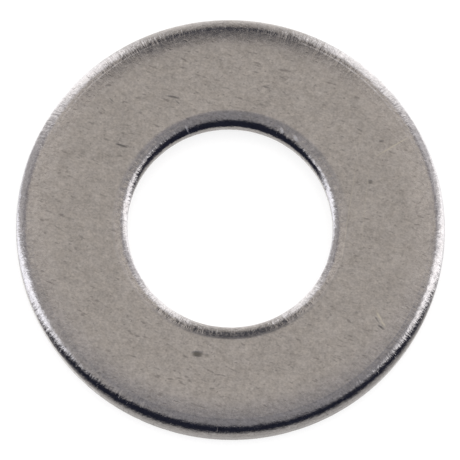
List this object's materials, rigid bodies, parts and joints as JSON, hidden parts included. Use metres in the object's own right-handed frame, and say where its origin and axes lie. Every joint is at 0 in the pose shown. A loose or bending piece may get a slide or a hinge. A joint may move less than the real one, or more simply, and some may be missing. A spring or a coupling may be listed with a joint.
{
  "type": "flat washer",
  "caption": "Thin plain flat washer with a round bore, rounded edges and two parallel bearing faces.",
  "frame": {"origin": "on the bore's axis, in the plane of the underside", "axes": "+Z along the bore's axis, from the underside to the upper face, which is the one the piercing punch entered"},
  "size_m": [0.009, 0.009, 0.0008],
  "materials": {
    "tumbled_steel": "satin, warm grey, finely grained from the sheet's rolling, with edges burnished bright by tumbling"
  },
  "bodies": {
    "root": {"washer": "tumbled_steel"}
  },
  "joints": []
}
